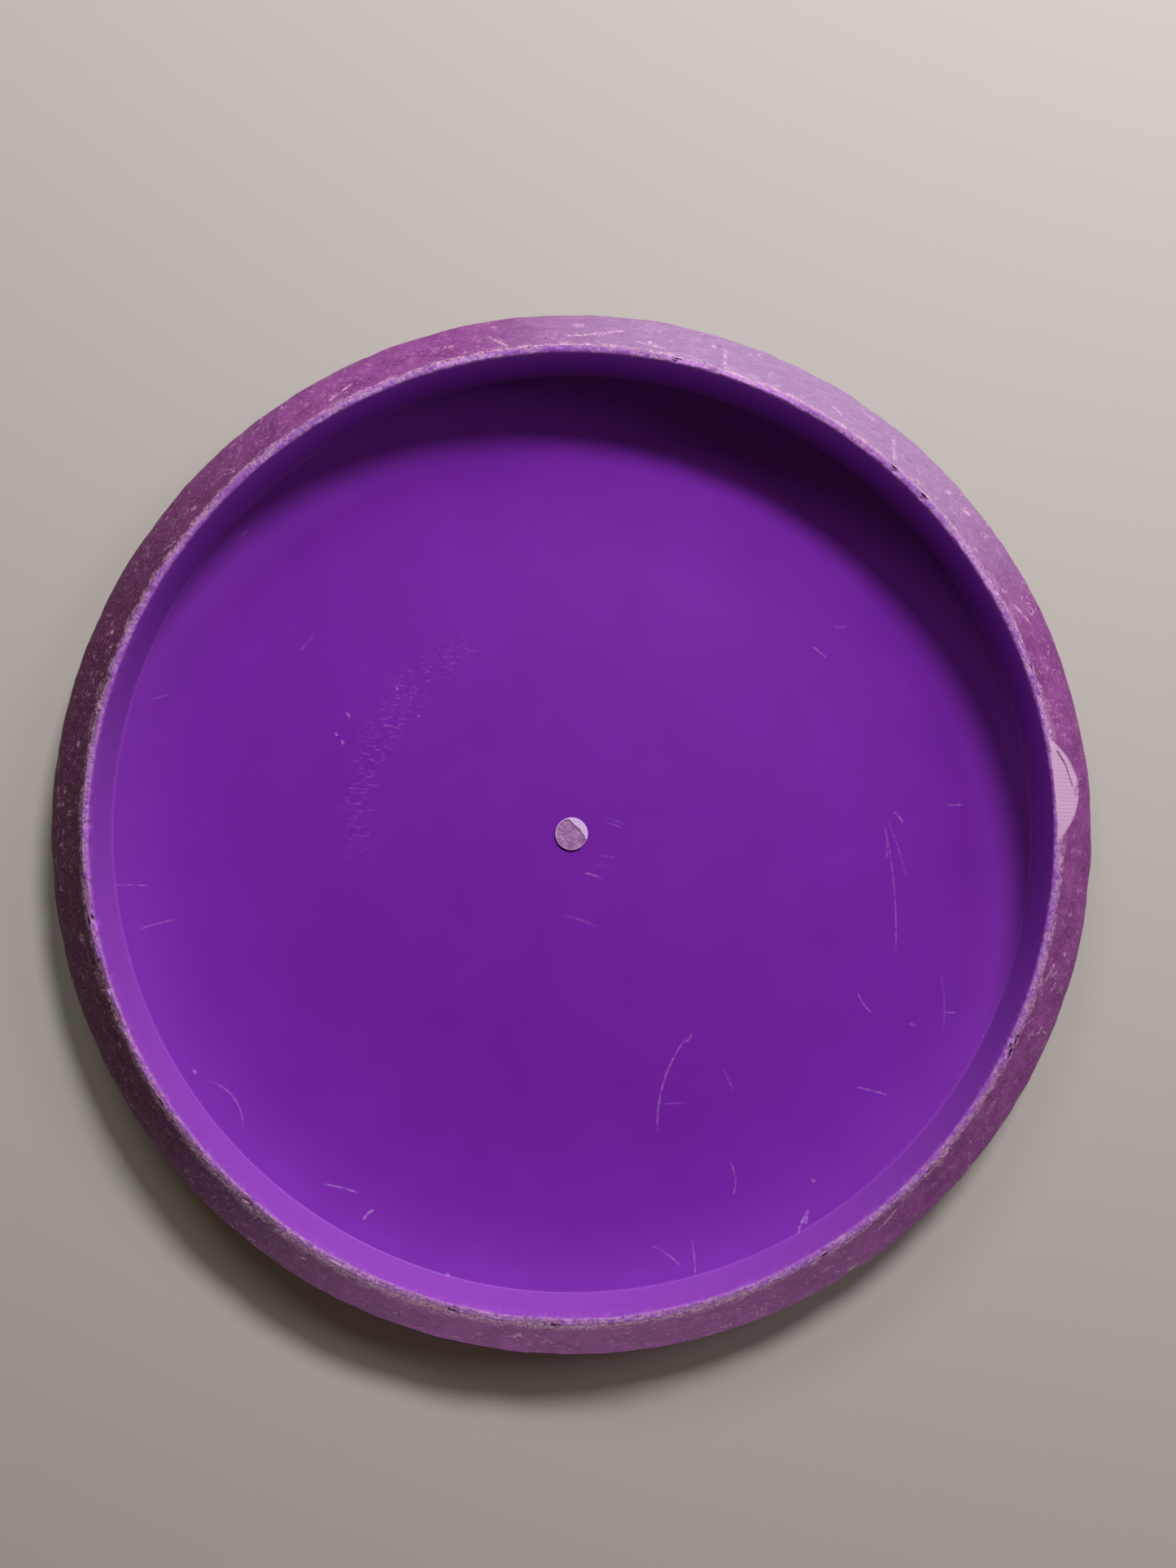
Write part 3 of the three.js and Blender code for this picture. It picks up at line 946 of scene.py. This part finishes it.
view = {
    "lens": 30.68,
    "overBead": 262,  # millimetres from the lens to the top of the bead
    "aside": 0.5,  # millimetres off the disc's axis, along X
    "beyond": 5,  # and along Y
    "shift": (0.009, 0.0165),  # the framing puts the disc a little low and left
}


def makeFloor():
    deselectAll()
    bpy.ops.mesh.primitive_plane_add(size=studio["floorSize"], location=(0, 0, 0))
    floor = bpy.context.object
    floor.name = "floor"
    dress(floor, palePaper())


def softLight(name, lamp):
    angle, rise = math.radians(lamp["angle"]), math.radians(lamp["rise"])
    level = math.cos(rise)
    place = Vector((math.cos(angle) * level, math.sin(angle) * level, math.sin(rise))) * lamp["far"]
    bpy.ops.object.light_add(type="AREA", location=place)
    light = bpy.context.object
    light.name = name
    light.rotation_euler = (-place).to_track_quat("-Z", "Y").to_euler()
    light.data.shape = "ELLIPSE"
    light.data.size = lamp["wide"]
    light.data.size_y = lamp["tall"]
    light.data.energy = lamp["power"]
    light.data.color = tone(lamp["tint"])[:3]
    light.visible_camera = False


def makeLights():
    for name, lamp in lamps.items():
        softLight(name, lamp)
    world = bpy.data.worlds.new("paleRoom")
    world.use_nodes = True
    bpy.context.scene.world = world
    background = world.node_tree.nodes["Background"]
    background.inputs["Color"].default_value = tone(studio["roomTint"])
    background.inputs["Strength"].default_value = studio["roomLight"]


def keepToDisc(light, pieces):
    # the low bounce light falls on the disc alone, so it draws no bright streak on the floor
    lit = bpy.data.collections.new("litByBounce")
    for piece in pieces:
        lit.objects.link(piece)
    light.light_linking.receiver_collection = lit


def makeCamera():
    place = Vector((view["aside"], view["beyond"], disc["height"] + view["overBead"])) * mm
    bpy.ops.object.camera_add(location=place, rotation=(0, 0, 0))
    camera = bpy.context.object
    camera.data.lens = view["lens"]
    camera.data.clip_start = 0.01
    camera.data.shift_x, camera.data.shift_y = view["shift"]
    bpy.context.scene.camera = camera


makeFloor()
makeLights()
makeCamera()
print("stage set")

violet = violetDiscPlastic()
core = makeFlightPlateCore()
dress(core, violet)
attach(core, "root")
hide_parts("flight_plate_core")

gateStub = makeGateStub()
dress(gateStub, cutSpruePlastic())
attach(gateStub, "root")
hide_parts("flight_plate_core")

rim = makeRimOvermould()
dress(rim, plumOvermouldPlastic())
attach(rim, "root")
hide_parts("rim_overmould")

keepToDisc(bpy.data.objects["tableBounce"], (core, gateStub, rim))
